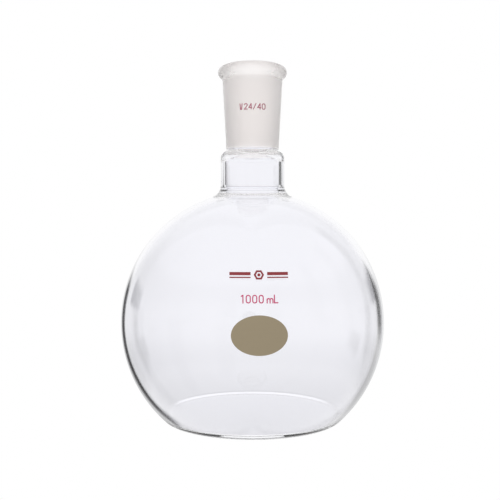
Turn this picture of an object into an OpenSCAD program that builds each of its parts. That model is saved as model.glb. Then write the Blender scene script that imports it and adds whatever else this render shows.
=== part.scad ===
// Flat-bottomed boiling flask of about 1000 mL with a ground taper joint on its neck.
// The axis is Z, the flask stands on z = 0, and its enamel marks face -Y.

/* [Round body] */
// Outer diameter of the blown body
bulb_d = 131; // [108:1:160]
// Wall of the blown body
bulb_wall = 2.2; // [1.6:0.1:4]
// Diameter of the flat that the flask stands on
flat_d = 82; // [50:1:98]
// Thickness of the glass above the flat
base_thick = 3.2; // [2:0.1:6]
// Outer round between the flat and the body
heel_round = 6; // [4:0.2:12]
// Inner round between the floor and the body
floor_round = 3; // [2:0.2:10]

/* [Neck] */
// Outer diameter of the neck
neck_d = 32; // [27:0.5:38]
// Wall of the neck
neck_wall = 2.6; // [1.6:0.1:4]
// Height of the joint's seam above the crown of the round body
neck_rise = 20.6; // [16:0.2:80]
// Outer cove where the neck flares into the body
foot_cove = 6; // [4:0.5:14]
// Inner round where the body opens into the neck
foot_round = 2.5; // [2:0.5:10]
// Outer round at the top of the neck
shoulder_round = 4; // [3.6:0.1:6]
// Cove between the shoulder and the joint
shoulder_cove = 1.2; // [0.8:0.1:2]
// Inner round under the shoulder
vault_round = 4.5; // [4:0.1:6]
// Inner round at the lip of the throat
throat_round = 1.5; // [0.8:0.1:2.4]
// Straight throat left below the joint's seam
throat_len = 1.3; // [0.6:0.1:3]

/* [Ground joint] */
// Bore at the wide end of the ground taper
taper_d = 24; // [20:0.5:29]
// Length of the ground taper
taper_len = 40; // [30:1:50]
// Length along which the bore narrows by one unit of diameter
taper_rate = 10; // [8:1:20]
// Clear band between the seam and the ground taper
clear_band = 1.4; // [0.6:0.1:6]
// Wall at the foot of the joint
joint_wall = 3.1; // [2:0.1:3.4]
// Wall at the mouth of the joint
mouth_wall = 3.4; // [2.4:0.1:4]
// Radius of the bead's round section
bead_round = 3; // [2:0.1:4]
// How far the bead stands out from the joint
bead_proud = 1.9; // [0.8:0.1:2.6]
// Cove under the bead
bead_cove = 2.5; // [1:0.1:5]
// Chamfer at the mouth of the bore
mouth_chamfer = 0.6; // [0.2:0.1:1]

/* [Fired marks] */
// Thickness of the fired enamel
enamel_thick = 0.1; // [0.05:0.01:0.2]
// Turn of the body's marks about the axis, in degrees
marks_turn = 2.6; // [-20:0.1:20]
// Width of the writing spot
spot_w = 24; // [10:0.5:40]
// Height of the writing spot
spot_h = 17; // [8:0.5:30]
// Middle of the writing spot above the widest level of the body
spot_up = 1; // [-15:0.5:15]
// Middle of the capacity above the middle of the spot
capacity_up = 15.2; // [12:0.2:20]
// Height of the capacity's figures
capacity_h = 3.6; // [2:0.1:6]
// Middle of the ornament above the middle of the capacity
ornament_up = 10; // [6:0.2:16]
// Width of the ornament
ornament_w = 25; // [16:0.5:40]
// Height of the ornament
ornament_h = 4.4; // [3:0.1:8]
// Middle of the joint's size below the mouth
size_down = 22; // [12:0.5:32]
// Height of the joint size's figures
size_h = 3; // [2:0.1:5]

/* [Hidden] */
$fn = 144;

clear_glass = [0.86, 0.91, 0.92, 0.45];
ground_glass = [0.90, 0.89, 0.88, 0.80];
olive_enamel = "#95896f";
crimson_enamel = "#a23a5c";
red_enamel = "#7c1f26";

// Round body: a sphere that stands on its flat through a rounded heel
bulb_r = bulb_d / 2;
inner_r = bulb_r - bulb_wall;
flat_r = flat_d / 2;
centre_z = heel_round + sqrt(pow(bulb_r - heel_round, 2) - pow(flat_r, 2));
centre = [0, centre_z];
heel_c = [flat_r, heel_round];
floor_z = base_thick + floor_round;
floor_c = [sqrt(pow(inner_r - floor_round, 2) - pow(centre_z - floor_z, 2)), floor_z];
heel_turn = turn_to(centre, heel_c);
floor_turn = turn_to(centre, floor_c);

// Neck: the cove outside and the round inside both touch their spheres
neck_r = neck_d / 2;
bore_r = neck_r - neck_wall;
cove_c = beside_sphere(bulb_r + foot_cove, neck_r + foot_cove);
round_c = beside_sphere(inner_r + foot_round, bore_r + foot_round);
seam_turn = turn_to(centre, cove_c);
round_turn = turn_to(centre, round_c);

// Joint: the bore narrows downwards, and the throat goes on at its narrow end
seam_z = centre_z + bulb_r + neck_rise;
ground_z = seam_z + clear_band;
mouth_z = ground_z + taper_len;
mouth_bore_r = taper_d / 2;
throat_r = mouth_bore_r - taper_len / taper_rate / 2;
joint_r = throat_r + joint_wall;
mouth_r = mouth_bore_r + mouth_wall;
flare = (mouth_r - joint_r) / (mouth_z - seam_z);

// Shoulder: each pair of rounds turns from one upright wall to the next
shoulder_lift = s_curve_lift(shoulder_round + shoulder_cove, neck_r - joint_r);
shoulder_c = [neck_r - shoulder_round, seam_z - shoulder_lift];
shoulder_cove_c = [joint_r + shoulder_cove, seam_z];
vault_lift = s_curve_lift(vault_round + throat_round, bore_r - throat_r);
throat_c = [throat_r + throat_round, seam_z - throat_len];
vault_c = [bore_r - vault_round, throat_c.y - vault_lift];
shoulder_turn = turn_to(shoulder_c, shoulder_cove_c);
vault_turn = turn_to(vault_c, throat_c);

// Bead: a round section with a cove that touches it and the joint's wall below
bead_c = [mouth_r + bead_proud - bead_round, mouth_z - bead_round];
bead_cove_c = below_bead(bead_round + bead_cove);
bead_turn = turn_to(bead_c, bead_cove_c);
rim_z = mouth_z - mouth_chamfer;
rim_r = mouth_bore_r - mouth_chamfer / taper_rate / 2;

// Marks
spot_z = centre_z + spot_up;
capacity_z = spot_z + capacity_up;
ornament_z = capacity_z + ornament_up;
size_z = mouth_z - size_down;
stroke_share = 0.13;
reach_out = bulb_r + enamel_thick + 1;

// Largest turns between the points of an arc, in degrees, on the glass and in a fired stroke
glass_step = 3;
stroke_step = 15;
hair = 0.001;

// Direction from one point to another
function turn_to(from, to) = atan2(to.y - from.y, to.x - from.x);

// Points of an arc about a middle, both ends included
function arc(middle, r, start, end, step = glass_step) =
    let (steps = ceil(abs(end - start) / step))
    [for (i = [0:steps]) point_at(middle, r, start + (end - start) * i / steps)];

// The round body's arc at radius r, from the heel up to the seam with the neck
function body_arc(r) = concat(arc(centre, r, heel_turn, 0), arc(centre, r, 0, seam_turn));

function point_at(middle, r, turn) = middle + r * [cos(turn), sin(turn)];

// An outline without the points that two touching arcs share
function once(points) =
    [for (i = [0:len(points) - 1]) if (i == 0 || norm(points[i] - points[i - 1]) > hair) points[i]];

// Middle of a round that touches a sphere about the centre: reach from it, and x from the axis
function beside_sphere(reach, x) = [x, centre_z + sqrt(reach * reach - x * x)];

// Height taken by two touching rounds, radii sum in all, that step sideways by step
function s_curve_lift(sum, step) = sqrt(sum * sum - pow(sum - step, 2));

// Middle of the cove under the bead: reach from the bead's middle, and a cove's radius off the flared wall
function below_bead(reach) =
    let (
        start = joint_r - flare * seam_z + bead_cove * norm([1, flare]) - bead_c.x,
        a = 1 + flare * flare,
        b = start * flare - bead_c.y,
        c = start * start + bead_c.y * bead_c.y - reach * reach,
        z = (-b - sqrt(b * b - a * c)) / a
    )
    [bead_c.x + start + flare * z, z];

// Round body, from the flat up to the seam with the neck
module bulb() color(clear_glass) rotate_extrude() polygon(once(concat(
    [[0, 0]],
    arc(heel_c, heel_round, -90, heel_turn),
    body_arc(bulb_r),
    arc(centre, inner_r, seam_turn, floor_turn),
    arc(floor_c, floor_round, floor_turn, -90),
    [[0, base_thick]]
)));

// Short neck, flared into the body below and drawn in to the joint above
module neck_tube() color(clear_glass) rotate_extrude() polygon(once(concat(
    arc(cove_c, foot_cove, seam_turn + 180, 180),
    arc(shoulder_c, shoulder_round, 0, shoulder_turn),
    arc(shoulder_cove_c, shoulder_cove, shoulder_turn + 180, 180),
    [[throat_r, seam_z]],
    arc(throat_c, throat_round, 180, vault_turn + 180),
    arc(vault_c, vault_round, vault_turn, 0),
    arc(round_c, foot_round, 180, round_turn + 180),
    arc(centre, inner_r, round_turn, seam_turn)
)));

// Female taper joint with its rolled bead
module ground_joint() color(ground_glass) rotate_extrude() polygon(once(concat(
    [[throat_r, seam_z], [joint_r, seam_z]],
    arc(bead_cove_c, bead_cove, 180 - atan(flare), bead_turn + 180),
    arc(bead_c, bead_round, bead_turn, 90),
    [[rim_r + mouth_chamfer, mouth_z], [rim_r, rim_z], [throat_r, ground_z]]
)));

// Straight stroke between two points
module stroke(from, to, w) {
    side = w / 2 * [from.y - to.y, to.x - from.x] / norm(to - from);
    polygon([from + side, from - side, to - side, to + side]);
}

// Round stroke about a point
module bend(middle, r, w, start, end) {
    outer = arc(middle, r + w / 2, start, end, stroke_step);
    inner = arc(middle, r - w / 2, end, start, stroke_step);
    polygon(concat(outer, inner));
}

// The figures stand on y = 0 with their left edge at x = 0, h high and drawn with a stroke w wide
module figure_1(h, w) {
    stem = 0.24 * h;
    stroke([stem, 0], [stem, h], w);
    stroke([stem, h - w / 2], [0, h - 1.6 * w], w);
}

module figure_0(h, w) {
    r = (figure_w(h) - w) / 2;
    for (side = [w / 2, w / 2 + 2 * r]) stroke([side, r + w / 2], [side, h - r - w / 2], w);
    bend([r + w / 2, h - r - w / 2], r, w, 0, 180);
    bend([r + w / 2, r + w / 2], r, w, 180, 360);
}

module figure_2(h, w) {
    r = (figure_w(h) - w) / 2;
    middle = [r + w / 2, h - r - w / 2];
    bend(middle, r, w, -30, 180);
    stroke(point_at(middle, r, -30), [w / 2, w / 2], w);
    stroke([0, w / 2], [figure_w(h), w / 2], w);
}

module figure_4(h, w) {
    stem = 0.74 * figure_w(h);
    bar = 0.3 * h;
    stroke([stem, 0], [stem, h], w);
    stroke([stem, h - w / 2], [w / 2, bar], w);
    stroke([0, bar], [figure_w(h), bar], w);
}

module figure_slash(h, w) stroke([w / 2, 0], [figure_w(h) - w / 2, h], w);

module letter_m(h, w) {
    r = 0.17 * h;
    spring = 0.62 * h - r - w / 2;
    for (leg = [0:2]) stroke([w / 2 + 2 * r * leg, 0], [w / 2 + 2 * r * leg, leg == 0 ? spring + r : spring], w);
    for (arch = [0:1]) bend([w / 2 + r + 2 * r * arch, spring], r, w, 0, 180);
}

module letter_L(h, w) {
    stroke([w / 2, 0], [w / 2, h], w);
    stroke([0, w / 2], [0.52 * h, w / 2], w);
}

// Small drawing of a tapered socket, wide end up
module taper_sign(h, w) {
    wide = 0.5 * h;
    narrow = 0.3 * h;
    difference() {
        polygon([[(wide - narrow) / 2, 0], [(wide + narrow) / 2, 0], [wide, h], [0, h]]);
        polygon([[(wide - narrow) / 2 + w, w], [(wide + narrow) / 2 - w, w], [wide - w, h + w], [w, h + w]]);
    }
}

function figure_w(h) = 0.6 * h;

// Capacity: one thousand millilitres, in plain strokes, centred on the origin
module capacity_figures() {
    h = capacity_h;
    w = stroke_share * h;
    pitch = figure_w(h) + 1.2 * w;
    start = -2.15 * h;
    translate([start, -h / 2]) {
        figure_1(h, w);
        for (i = [0:2]) translate([0.56 * h + pitch * i, 0]) figure_0(h, w);
        translate([3.0 * h, 0]) letter_m(h, w);
        translate([3.86 * h, 0]) letter_L(h, w);
    }
}

// Joint size: bore over length, in plain strokes, centred on the origin
module size_figures() {
    h = size_h;
    w = stroke_share * h;
    pitch = 0.72 * h;
    translate([-(5 * pitch + figure_w(h)) / 2, -h / 2]) {
        taper_sign(h, w);
        translate([pitch, 0]) figure_2(h, w);
        translate([2 * pitch, 0]) figure_4(h, w);
        translate([3 * pitch, 0]) figure_slash(h, w);
        translate([4 * pitch, 0]) figure_4(h, w);
        translate([5 * pitch, 0]) figure_0(h, w);
    }
}

// Plain ornament: a hexagon ring about a round dot, between paired rules
module ornament() {
    ring = 0.2 * ornament_h;
    gap = 0.3 * ornament_h;
    rule_w = ornament_w / 2 - ornament_h / 2 - gap;
    difference() {
        circle(d = ornament_h, $fn = 6);
        circle(d = ornament_h - 2 * ring, $fn = 6);
    }
    circle(d = 0.3 * ornament_h);
    for (side = [-1, 1]) translate([side * (ornament_w / 2 - rule_w / 2), 0]) {
        translate([0, 0.12 * ornament_h]) square([rule_w, 0.3 * ornament_h], center = true);
        translate([0, -0.24 * ornament_h]) square([rule_w, 0.12 * ornament_h], center = true);
    }
}

module spot_oval() {
    points = 72;
    polygon([for (i = [0:points - 1]) [spot_w / 2 * cos(360 * i / points), spot_h / 2 * sin(360 * i / points)]]);
}

// Stands a flat drawing up at height z, facing -Y, as a block that reaches out past the glass
module facing_out(turn, z) {
    rotate([0, 0, turn]) translate([0, 0, z]) rotate([90, 0, 0]) linear_extrude(reach_out) children();
}

// Enamel on the round body
module on_bulb(z) intersection() {
    rotate_extrude() difference() {
        polygon(once(concat([[0, 0]], body_arc(bulb_r + enamel_thick), [[0, seam_z]])));
        polygon(once(concat([[0, 0]], body_arc(bulb_r), [[0, seam_z]])));
    }
    facing_out(marks_turn, z) children();
}

// Enamel on the flared wall of the joint
module on_joint(z, h) intersection() {
    rotate_extrude() {
        low = joint_r + flare * (z - h - seam_z);
        high = joint_r + flare * (z + h - seam_z);
        polygon([[low, z - h], [low + enamel_thick, z - h], [high + enamel_thick, z + h], [high, z + h]]);
    }
    facing_out(0, z) children();
}

module marking_spot() color(olive_enamel) on_bulb(spot_z) spot_oval();

module capacity_mark() color(crimson_enamel) on_bulb(capacity_z) capacity_figures();

module maker_mark() color(red_enamel) on_bulb(ornament_z) ornament();

module joint_size_mark() color(red_enamel) on_joint(size_z, size_h) size_figures();

bulb();
neck_tube();
ground_joint();
marking_spot();
capacity_mark();
maker_mark();
joint_size_mark();
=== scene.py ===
import math

import bpy
import numpy as np
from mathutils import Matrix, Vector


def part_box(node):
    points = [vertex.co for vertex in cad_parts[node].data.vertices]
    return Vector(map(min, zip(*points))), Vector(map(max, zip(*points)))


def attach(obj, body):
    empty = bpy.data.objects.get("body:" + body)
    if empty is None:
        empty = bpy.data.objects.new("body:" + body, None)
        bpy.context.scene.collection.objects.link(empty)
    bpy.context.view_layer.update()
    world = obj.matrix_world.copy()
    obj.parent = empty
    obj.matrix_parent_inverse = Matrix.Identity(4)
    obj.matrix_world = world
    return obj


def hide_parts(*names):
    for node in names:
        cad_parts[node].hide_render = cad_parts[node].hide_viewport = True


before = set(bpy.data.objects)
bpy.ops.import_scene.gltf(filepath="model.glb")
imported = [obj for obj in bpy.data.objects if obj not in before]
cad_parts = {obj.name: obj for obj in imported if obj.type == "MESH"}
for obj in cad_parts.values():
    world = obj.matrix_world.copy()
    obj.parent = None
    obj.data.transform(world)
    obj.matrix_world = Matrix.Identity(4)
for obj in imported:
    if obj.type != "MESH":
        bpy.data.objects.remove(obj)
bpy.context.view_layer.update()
print("frame loaded")

mm = 0.001
tiny = 1e-6  # millimetres
slack = 0.005  # millimetres, for telling the inner wall from the outer one
scene = bpy.context.scene
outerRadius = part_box("bulb")[1].x / mm
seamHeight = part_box("ground_joint")[0].z / mm
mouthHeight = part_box("ground_joint")[1].z / mm


# A colour from sRGB to linear, channel by channel: the usual 2.4 power with its straight toe.
def linearColour(hexCode):
    channels = [int(hexCode[i : i + 2], 16) / 255 for i in (0, 2, 4)]
    linear = [c / 12.92 if c <= 0.04045 else ((c + 0.055) / 1.055) ** 2.4 for c in channels]
    return (*linear, 1.0)


# Adds one node. A setting is an attribute, and an input is a value or another node's output.
def addNode(tree, kind, inputs=None, **settings):
    node = tree.nodes.new(kind)
    for name, value in settings.items():
        setattr(node, name, value)
    for socket, value in (inputs or {}).items():
        if isinstance(value, bpy.types.NodeSocket):
            tree.links.new(value, node.inputs[socket])
        else:
            node.inputs[socket].default_value = value
    return node


# The camera stands close to the flask, level with its middle.
view = {
    "distance": 375,  # millimetres from the flask's axis
    "height": 91.8,  # millimetres above the ground
    "focal": 53.5,
    "tiltDown": 1.075,  # degrees
    "turnLeft": 0.19,
}
cameraData = bpy.data.cameras.new("studioCamera")
cameraData.lens = view["focal"]
cameraObject = bpy.data.objects.new("studioCamera", cameraData)
cameraObject.location = (0, -view["distance"] * mm, view["height"] * mm)
cameraObject.rotation_euler = (math.radians(90 - view["tiltDown"]), 0, math.radians(view["turnLeft"]))
scene.collection.objects.link(cameraObject)
scene.camera = cameraObject
print("camera placed")

# A white surround with dark upright flags, which give the clear glass its dark edge lines.
# Turns are in degrees from straight behind the flask, a pair being where a step starts and ends.
# Heights are those of a direction, which is the sine of its elevation.
studio = {
    "flagCount": 8,  # faint flags all round
    "flagFrom": -0.3,  # of the cosine that repeats round the studio
    "flagFull": -0.8,
    "flagDepth": 0.2,
    "rearInner": (23.5, 28.5),  # a deep flag on each side behind
    "rearOuter": (36.5, 42),
    "rearShift": -2.5,
    "rearSlant": 0.5,  # their feet hang lower on the left
    "flagTop": (0.02, 0.12),
    "flagFoot": (-0.38, -0.52),
    "veilSpread": (5, 26),  # a soft grey before each deep flag
    "veilDepth": 0.28,
    "veilTop": (0.0, 0.12),
    "neckInner": (38, 42),  # a short flag on each side, seen in the neck's wall
    "neckOuter": (57.5, 61.5),
    "neckShift": 7,
    "neckFoot": (0.0, 0.06),
    "neckTop": (0.14, 0.24),
    "deepDepth": 0.92,  # how dark the deep and the short flags are
    "floorShade": (-0.11, -0.3),  # the lower half is darker
    "floorGrey": 0.74,
    "underShade": (-0.4, -0.55),  # and brighter again straight below, under the base
    "underGain": 1.5,
}


# A smooth step from one value to another, as a node's output.
def smoothStep(tree, value, start, end, low=0.0, high=1.0):
    inputs = {"Value": value, "From Min": start, "From Max": end, "To Min": low, "To Max": high}
    return addNode(tree, "ShaderNodeMapRange", inputs, interpolation_type="SMOOTHSTEP").outputs["Result"]


# The same over a pair of turns in degrees.
def turnStep(tree, value, spread, low=0.0, high=1.0):
    return smoothStep(tree, value, *np.radians(spread).tolist(), low, high)


def mathNode(tree, operation, *values):
    return addNode(tree, "ShaderNodeMath", dict(enumerate(values)), operation=operation).outputs[0]


# How far a turn lies to either side of straight behind, after moving the middle by some degrees.
def asideFrom(tree, around, shift):
    return mathNode(tree, "ABSOLUTE", mathNode(tree, "ADD", around, math.radians(shift)))


def makeStudioLight():
    world = bpy.data.worlds.new("whiteStudio")
    scene.world = world
    world.use_nodes = True
    tree = world.node_tree
    tree.nodes.clear()
    direction = addNode(tree, "ShaderNodeTexCoord").outputs["Generated"]
    parts = addNode(tree, "ShaderNodeSeparateXYZ", {0: direction}).outputs
    height = parts["Z"]
    around = mathNode(tree, "ARCTAN2", parts["X"], parts["Y"])

    # The short flags beside the neck.
    neckAside = asideFrom(tree, around, studio["neckShift"])
    neckInner = turnStep(tree, neckAside, studio["neckInner"])
    neckOuter = turnStep(tree, neckAside, studio["neckOuter"], studio["deepDepth"], 0.0)
    neckLow = smoothStep(tree, height, *studio["neckFoot"])
    neckHigh = smoothStep(tree, height, *studio["neckTop"], 1.0, 0.0)
    neckRange = mathNode(tree, "MULTIPLY", neckLow, neckHigh)
    beside = mathNode(tree, "MULTIPLY", neckRange, mathNode(tree, "MULTIPLY", neckInner, neckOuter))

    # The faint flags all round and the deep ones behind, hung from one height.
    wave = mathNode(tree, "COSINE", mathNode(tree, "MULTIPLY", around, studio["flagCount"]))
    mild = smoothStep(tree, wave, studio["flagFrom"], studio["flagFull"], 0.0, studio["flagDepth"])
    flags = mathNode(tree, "MULTIPLY", mild, neckInner)  # none of them near straight behind
    aside = asideFrom(tree, around, studio["rearShift"])
    inner = turnStep(tree, aside, studio["rearInner"])
    outer = turnStep(tree, aside, studio["rearOuter"], studio["deepDepth"], 0.0)
    deepest = mathNode(tree, "MAXIMUM", flags, mathNode(tree, "MULTIPLY", inner, outer))
    slanted = mathNode(tree, "SUBTRACT", height, mathNode(tree, "MULTIPLY", parts["X"], studio["rearSlant"]))
    belowTop = smoothStep(tree, height, *studio["flagTop"], 1.0, 0.0)
    aboveFoot = smoothStep(tree, slanted, *studio["flagFoot"], 1.0, 0.0)
    hung = mathNode(tree, "MULTIPLY", deepest, mathNode(tree, "MULTIPLY", belowTop, aboveFoot))

    # The soft grey before the deep flags.
    veilRise = turnStep(tree, aside, studio["veilSpread"], 0.0, studio["veilDepth"])
    veilFade = turnStep(tree, aside, studio["rearOuter"], 1.0, 0.0)
    veilLow = smoothStep(tree, height, *studio["veilTop"], 1.0, 0.0)
    veil = mathNode(tree, "MULTIPLY", veilRise, mathNode(tree, "MULTIPLY", veilLow, veilFade))

    shade = mathNode(tree, "MAXIMUM", mathNode(tree, "MAXIMUM", hung, veil), beside)
    downward = smoothStep(tree, height, *studio["floorShade"], 1.0, studio["floorGrey"])
    under = smoothStep(tree, height, *studio["underShade"], 1.0, studio["underGain"])
    below = mathNode(tree, "MULTIPLY", downward, under)
    room = mathNode(tree, "MULTIPLY", mathNode(tree, "SUBTRACT", 1.0, shade), below)
    # The backdrop itself is plain white: the flags are only seen through the glass and mirrored in it.
    seen = addNode(tree, "ShaderNodeLightPath").outputs["Is Camera Ray"]
    brightness = mathNode(tree, "MAXIMUM", room, seen)
    background = addNode(tree, "ShaderNodeBackground", {"Color": (1, 1, 1, 1), "Strength": brightness})
    addNode(tree, "ShaderNodeOutputWorld", {"Surface": background.outputs[0]})


ground = {
    "radius": 1.5,  # metres
    "sides": 96,
    "drop": 0.0002,  # below the flask's flat, so that the two faces don't fight
}


# A white round ground, hidden from rays mirrored in the glass and from rays that pass through it.
def makeFloor():
    angles = np.linspace(0, 2 * np.pi, ground["sides"], endpoint=False)
    rim = ground["radius"] * np.c_[np.cos(angles), np.sin(angles)]
    rim = np.c_[rim, np.full(ground["sides"], -ground["drop"])]
    mesh = bpy.data.meshes.new("studioFloor")
    mesh.from_pydata(rim.tolist(), [], [list(range(ground["sides"]))])
    material = bpy.data.materials.new("paleSweep")
    material.use_nodes = True
    tree = material.node_tree
    tree.nodes.clear()
    glow = addNode(tree, "ShaderNodeEmission", {"Color": (1, 1, 1, 1), "Strength": 1.0})
    addNode(tree, "ShaderNodeOutputMaterial", {"Surface": glow.outputs[0]})
    mesh.materials.append(material)
    floor = bpy.data.objects.new("studioFloor", mesh)
    scene.collection.objects.link(floor)
    floor.visible_glossy = False  # the glass takes its light from below out of the surround
    floor.visible_transmission = False


makeStudioLight()
makeFloor()
scene.view_settings.view_transform = "Standard"
# Light runs a long way inside the walls and the base before it leaves them.
bounces = {"all": 64, "through": 64, "mirrored": 24, "seams": 32}
scene.cycles.max_bounces = bounces["all"]
scene.cycles.transmission_bounces = bounces["through"]
scene.cycles.glossy_bounces = bounces["mirrored"]
scene.cycles.transparent_max_bounces = bounces["seams"]
print("studio built")

# What the glass is made of, for all three pieces.
glass = {
    "clear": "F9F9FC",
    "ground": "FEFBFA",
    "index": 1.473,  # borosilicate 3.3
    "groundRoughness": 0.6,
    "overGroundRoughness": 0.35,
    "beadRoughness": 0.2,
}


# One kind of borosilicate glass, which lets all light through: its colour and how rough it is.
def makeGlass(name, hexCode, roughness):
    material = bpy.data.materials.new(name)
    material.use_nodes = True
    shader = material.node_tree.nodes["Principled BSDF"]
    shader.inputs["Base Color"].default_value = linearColour(hexCode)
    shader.inputs["Roughness"].default_value = roughness
    shader.inputs["IOR"].default_value = glass["index"]
    shader.inputs["Transmission Weight"].default_value = 1
    return material


# The face where two glass pieces were melted together: nothing shows there.
def makeFusedSeam():
    material = bpy.data.materials.new("fusedSeam")
    material.use_nodes = True
    tree = material.node_tree
    tree.nodes.clear()
    through = addNode(tree, "ShaderNodeBsdfTransparent")
    addNode(tree, "ShaderNodeOutputMaterial", {"Surface": through.outputs[0]})
    return material


finishes = [
    # Borosilicate glass, blown and fire-polished: clear, with dark lines where its walls turn away.
    makeGlass("borosilicateGlass", glass["clear"], 0),
    # Ground glass, worked with fine carborundum: its pits scatter light, so it is white and matt.
    makeGlass("groundBorosilicate", glass["ground"], glass["groundRoughness"]),
    # Drawn tube over the ground bore: a little dull, so that the bore is one even tone to its edges.
    makeGlass("dulledBorosilicate", glass["ground"], glass["overGroundRoughness"]),
    # Rolled bead at the mouth: only faintly dull, so that it still shows its round ends.
    makeGlass("beadBorosilicate", glass["ground"], glass["beadRoughness"]),
    makeFusedSeam(),
]
clear, matt, dulled, faint, seam = range(5)


# A turned piece is a list of strokes in the plane of radius and height, in millimetres, with the
# glass on the left hand. Each stroke keeps its exact normals. This is the turn from one point to another.
def turnTo(centre, point):
    return math.degrees(math.atan2(point[1] - centre[1], point[0] - centre[0]))


# Points on a circle between two turns. A turn that grows bulges out of the glass, one that falls is hollow.
def arcStroke(centre, radius, startTurn, endTurn, finish=clear, step=1.5):
    count = max(3, int(math.ceil(abs(endTurn - startTurn) / step)) + 1)
    turn = np.radians(np.linspace(startTurn, endTurn, count))
    spoke = np.c_[np.cos(turn), np.sin(turn)]
    return {
        "points": np.array(centre) + radius * spoke,
        "normals": spoke if endTurn > startTurn else -spoke,
        "finish": finish,
    }


# Points on a straight stretch, with the normal a quarter turn to its right.
def straightStroke(start, end, finish=clear, pieces=1):
    share = np.linspace(0, 1, pieces + 1)[:, None]
    points = np.array(start) * (1 - share) + np.array(end) * share
    along = np.subtract(end, start) / np.linalg.norm(np.subtract(end, start))
    normals = np.tile([along[1], -along[0]], (pieces + 1, 1))
    return {"points": points, "normals": normals, "finish": finish}


# Turns the strokes round the upright axis: x is the radius times the cosine of the turn, and y is the
# radius times its sine. Neighbouring strokes share their ring, a ring on the axis is one pole, and each
# corner of a face carries its stroke's normal. aside moves the rings sideways.
def turnedPiece(name, strokes, node, around=240, aside=None):
    angle = np.linspace(0, 2 * np.pi, around, endpoint=False)
    circle = np.c_[np.cos(angle), np.sin(angle)]
    rings = [strokes[0]["points"][0]]
    bands = []
    for stroke in strokes:
        for i in range(1, len(stroke["points"])):
            rings.append(stroke["points"][i])
            bands.append((stroke["normals"][i - 1], stroke["normals"][i], stroke["finish"]))
    rings = np.array(rings)
    if np.allclose(rings[0], rings[-1], atol=tiny):
        rings = rings[:-1]
    poles = rings[:, 0] < tiny
    sizes = np.where(poles, 1, around)
    starts = np.concatenate([[0], np.cumsum(sizes)[:-1]])
    vertices = np.vstack(
        [
            [[0, 0, ring[1]]] if pole else np.c_[ring[0] * circle, np.full(around, ring[1])]
            for ring, pole in zip(rings, poles)
        ]
    )
    if aside is not None:
        vertices[:, 0] += np.repeat(aside(rings), sizes)
    k = np.arange(around)
    nextK = (k + 1) % around
    faces = []
    normals = []
    owners = []
    for i, (firstNormal, secondNormal, finish) in enumerate(bands):
        j = (i + 1) % len(rings)
        low = np.c_[firstNormal[0] * circle, np.full(around, firstNormal[1])]
        high = np.c_[secondNormal[0] * circle, np.full(around, secondNormal[1])]
        if poles[i]:
            faces += np.c_[np.full(around, starts[i]), starts[j] + nextK, starts[j] + k].tolist()
            normals.append(np.stack([low, high[nextK], high[k]], 1).reshape(-1, 3))
        elif poles[j]:
            faces += np.c_[starts[i] + k, starts[i] + nextK, np.full(around, starts[j])].tolist()
            normals.append(np.stack([low[k], low[nextK], high], 1).reshape(-1, 3))
        else:
            faces += np.c_[starts[i] + k, starts[i] + nextK, starts[j] + nextK, starts[j] + k].tolist()
            normals.append(np.stack([low[k], low[nextK], high[nextK], high[k]], 1).reshape(-1, 3))
        owners += [finish] * around
    mesh = bpy.data.meshes.new(name)
    mesh.from_pydata((vertices * mm).tolist(), [], faces)
    for material in finishes:
        mesh.materials.append(material)
    mesh.polygons.foreach_set("material_index", np.array(owners, np.int32))
    mesh.polygons.foreach_set("use_smooth", np.ones(len(owners), bool))
    mesh.update()
    mesh.normals_split_custom_set(np.vstack(normals).tolist())
    piece = bpy.data.objects.new(name, mesh)
    scene.collection.objects.link(piece)
    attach(piece, "root")
    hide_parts(node)
    print(name, len(faces), "faces")


# Sizes of the three glass pieces, in millimetres.
bulb = {
    "wall": 2.2,
    "uneven": 0.5,  # the blown wall is this much thinner on one side, thicker on the other
    "flat": 82,  # across
    "base": 3.2,
    "heelRound": 6,
    "floorRound": 3,
}
neck = {
    "radius": 16,
    "wall": 2.6,
    "footCove": 6,
    "footRound": 2.5,
    "shoulderRound": 4,
    "shoulderCove": 1.2,
    "vaultRound": 4.5,
    "throatRound": 1.5,
    "throatLength": 1.3,
}
joint = {
    "mouthBore": 12,
    "taper": 0.05,  # of radius to length, one in ten on the diameter
    "length": 40,
    "wall": 3.1,
    "rimWall": 3.4,
    "beadRound": 3,
    "beadProud": 1.9,
    "beadCove": 2.5,
    "chamfer": 0.6,
}

centreHeight = bulb["heelRound"] + math.sqrt(
    (outerRadius - bulb["heelRound"]) ** 2 - (bulb["flat"] / 2) ** 2
)
centre = (0, centreHeight)
innerRadius = outerRadius - bulb["wall"]


# The point at a given radius that is a given distance from the bulb's centre, on its upper side.
def besideSphere(radius, reach):
    return (radius, centreHeight + math.sqrt(reach**2 - radius**2))


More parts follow.
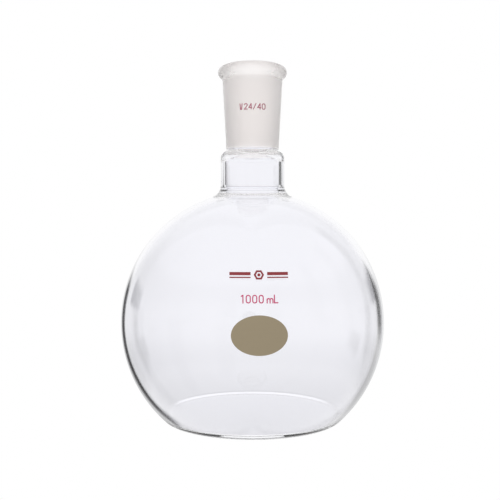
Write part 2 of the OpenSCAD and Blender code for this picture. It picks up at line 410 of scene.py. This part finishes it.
# Each round is tangent to both its neighbours: its centre lies one radius off each of them.
def makeOutlines():
    heel = (bulb["flat"] / 2, bulb["heelRound"])
    floorHeight = bulb["base"] + bulb["floorRound"]
    floor = (
        math.sqrt((innerRadius - bulb["floorRound"]) ** 2 - (floorHeight - centreHeight) ** 2),
        floorHeight,
    )
    cove = besideSphere(neck["radius"] + neck["footCove"], outerRadius + neck["footCove"])
    bore = neck["radius"] - neck["wall"]
    boreRound = besideSphere(bore + neck["footRound"], innerRadius + neck["footRound"])
    seamTurn = turnTo(centre, cove)
    heelTurn = turnTo(centre, heel)
    floorTurn = turnTo(centre, floor)
    roundTurn = turnTo(centre, boreRound)
    outside = arcStroke(centre, outerRadius, heelTurn, seamTurn)
    inside = arcStroke(centre, innerRadius, seamTurn, floorTurn)
    bulbStrokes = [
        straightStroke((0, 0), (heel[0], 0), pieces=8),
        arcStroke(heel, bulb["heelRound"], -90, heelTurn),
        outside,
        straightStroke(outside["points"][-1], inside["points"][0], seam),
        inside,
        arcStroke(floor, bulb["floorRound"], floorTurn, -90),
        straightStroke((floor[0], bulb["base"]), (0, bulb["base"]), pieces=8),
    ]

    throat = joint["mouthBore"] - joint["taper"] * joint["length"]
    groundHeight = mouthHeight - joint["length"]
    seamRadius = throat + joint["wall"]
    rimRadius = joint["mouthBore"] + joint["rimWall"]
    shoulderDrop = neck["shoulderRound"] + neck["shoulderCove"]
    shoulderLift = math.sqrt(shoulderDrop**2 - (shoulderDrop - (neck["radius"] - seamRadius)) ** 2)
    shoulder = (neck["radius"] - neck["shoulderRound"], seamHeight - shoulderLift)
    shoulderCove = (seamRadius + neck["shoulderCove"], seamHeight)
    shoulderTurn = turnTo(shoulder, shoulderCove)
    throatCentre = (throat + neck["throatRound"], seamHeight - neck["throatLength"])
    vaultDrop = neck["vaultRound"] + neck["throatRound"]
    vaultRadius = bore - neck["vaultRound"]
    vaultLift = math.sqrt(vaultDrop**2 - (throatCentre[0] - vaultRadius) ** 2)
    vault = (vaultRadius, throatCentre[1] - vaultLift)
    vaultTurn = turnTo(vault, throatCentre)
    foot = arcStroke(cove, neck["footCove"], seamTurn + 180, 180)
    edge = arcStroke(shoulder, neck["shoulderRound"], 0, shoulderTurn)
    rise = arcStroke(shoulderCove, neck["shoulderCove"], shoulderTurn + 180, 180, step=6)
    dip = arcStroke(throatCentre, neck["throatRound"], 180, vaultTurn + 180, step=6)
    arch = arcStroke(vault, neck["vaultRound"], vaultTurn, 0)
    flare = arcStroke(boreRound, neck["footRound"], 180, roundTurn + 180)
    lip = arcStroke(centre, innerRadius, roundTurn, seamTurn)
    neckStrokes = [
        foot,
        straightStroke(foot["points"][-1], edge["points"][0]),
        edge,
        rise,
        straightStroke(rise["points"][-1], (throat, seamHeight), seam),
        straightStroke((throat, seamHeight), dip["points"][0]),
        dip,
        arch,
        straightStroke(arch["points"][-1], flare["points"][0]),
        flare,
        lip,
        straightStroke(lip["points"][-1], foot["points"][0], seam),
    ]

    flareSlope = (rimRadius - seamRadius) / (mouthHeight - seamHeight)
    bead = (rimRadius + joint["beadProud"] - joint["beadRound"], mouthHeight - joint["beadRound"])
    # The cove's centre is beadCove off the sloping wall and beadRound + beadCove from the bead's centre.
    offWall = seamRadius - flareSlope * seamHeight + joint["beadCove"] * math.hypot(1, flareSlope) - bead[0]
    a = 1 + flareSlope**2
    b = offWall * flareSlope - bead[1]
    c = offWall**2 + bead[1] ** 2 - (joint["beadRound"] + joint["beadCove"]) ** 2
    coveHeight = (-b - math.sqrt(b**2 - a * c)) / a
    beadCove = (bead[0] + offWall + flareSlope * coveHeight, coveHeight)
    beadTurn = turnTo(bead, beadCove)
    wallTurn = 180 - math.degrees(math.atan(flareSlope))
    under = arcStroke(beadCove, joint["beadCove"], wallTurn, beadTurn + 180, faint)
    ring = arcStroke(bead, joint["beadRound"], beadTurn, 90, faint)
    chamferTop = (joint["mouthBore"] + joint["chamfer"], mouthHeight)
    # The chamfer ends on the bore, which is a little narrower there than at the mouth.
    chamferFoot = (
        joint["mouthBore"] - joint["taper"] * joint["chamfer"],
        mouthHeight - joint["chamfer"],
    )
    jointStrokes = [
        straightStroke((throat, seamHeight), (seamRadius, seamHeight), seam),
        straightStroke((seamRadius, seamHeight), under["points"][0], dulled, pieces=4),
        under,
        ring,
        straightStroke(ring["points"][-1], chamferTop, faint),
        straightStroke(chamferTop, chamferFoot, matt),
        straightStroke(chamferFoot, (throat, groundHeight), matt, pieces=8),
        straightStroke((throat, groundHeight), (throat, seamHeight)),
    ]
    return bulbStrokes, neckStrokes, jointStrokes


bulbStrokes, neckStrokes, jointStrokes = makeOutlines()


# How far the inner wall is moved sideways, as a sine squared of the share of its height: nothing at the
# floor and the seam, most halfway.
def unevenWall(rings):
    rise = bulbStrokes[3]["points"][0][1] - bulb["base"]  # up to the seam's outer edge
    share = np.clip((rings[:, 1] - bulb["base"]) / rise, 0, 1)
    inside = np.hypot(rings[:, 0], rings[:, 1] - centreHeight) < innerRadius + slack
    inside &= rings[:, 1] > bulb["base"] + slack
    return np.where(inside, -bulb["uneven"] * np.sin(np.pi * share) ** 2, 0)


turnedPiece("bulbGlass", bulbStrokes, "bulb", aside=unevenWall)
turnedPiece("neckGlass", neckStrokes, "neck_tube")
turnedPiece("jointGlass", jointStrokes, "ground_joint")


# Ceramic enamel, screened on and fired: opaque, smooth-edged and half matt.
def enamelFinish(name, hexCode, roughness):
    material = bpy.data.materials.new(name)
    material.use_nodes = True
    shader = material.node_tree.nodes["Principled BSDF"]
    shader.inputs["Base Color"].default_value = linearColour(hexCode)
    shader.inputs["Roughness"].default_value = roughness
    return material


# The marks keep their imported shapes: a finish's name, its colour and how rough it is.
enamel = {
    "marking_spot": ("oliveEnamel", "887C65", 0.7),
    "capacity_mark": ("crimsonEnamel", "B02A5B", 0.5),
    "maker_mark": ("redEnamel", "7C1F26", 0.5),
    "joint_size_mark": ("darkCrimsonEnamel", "8E2348", 0.5),
}
for node, (finishName, hexCode, roughness) in enamel.items():
    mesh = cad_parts[node].data
    mesh.materials.clear()
    mesh.materials.append(enamelFinish(finishName, hexCode, roughness))
print("enamel fired")

# A broad soft lamp in front for the enamel alone: it neither mirrors in the glass nor shines through it.
frontLamp = {
    "strength": 3.0,  # watts
    "size": 0.8,  # metres
    "place": (-0.25, -0.9, 0.6),
    "tilt": 60,  # degrees up from facing down
    "turn": -15,
}
lampData = bpy.data.lights.new("frontSoftbox", "AREA")
lampData.size = frontLamp["size"]
lampData.energy = frontLamp["strength"]
lamp = bpy.data.objects.new("frontSoftbox", lampData)
lamp.location = frontLamp["place"]
lamp.rotation_euler = (math.radians(frontLamp["tilt"]), 0, math.radians(frontLamp["turn"]))
lamp.visible_glossy = False
lamp.visible_transmission = False
scene.collection.objects.link(lamp)
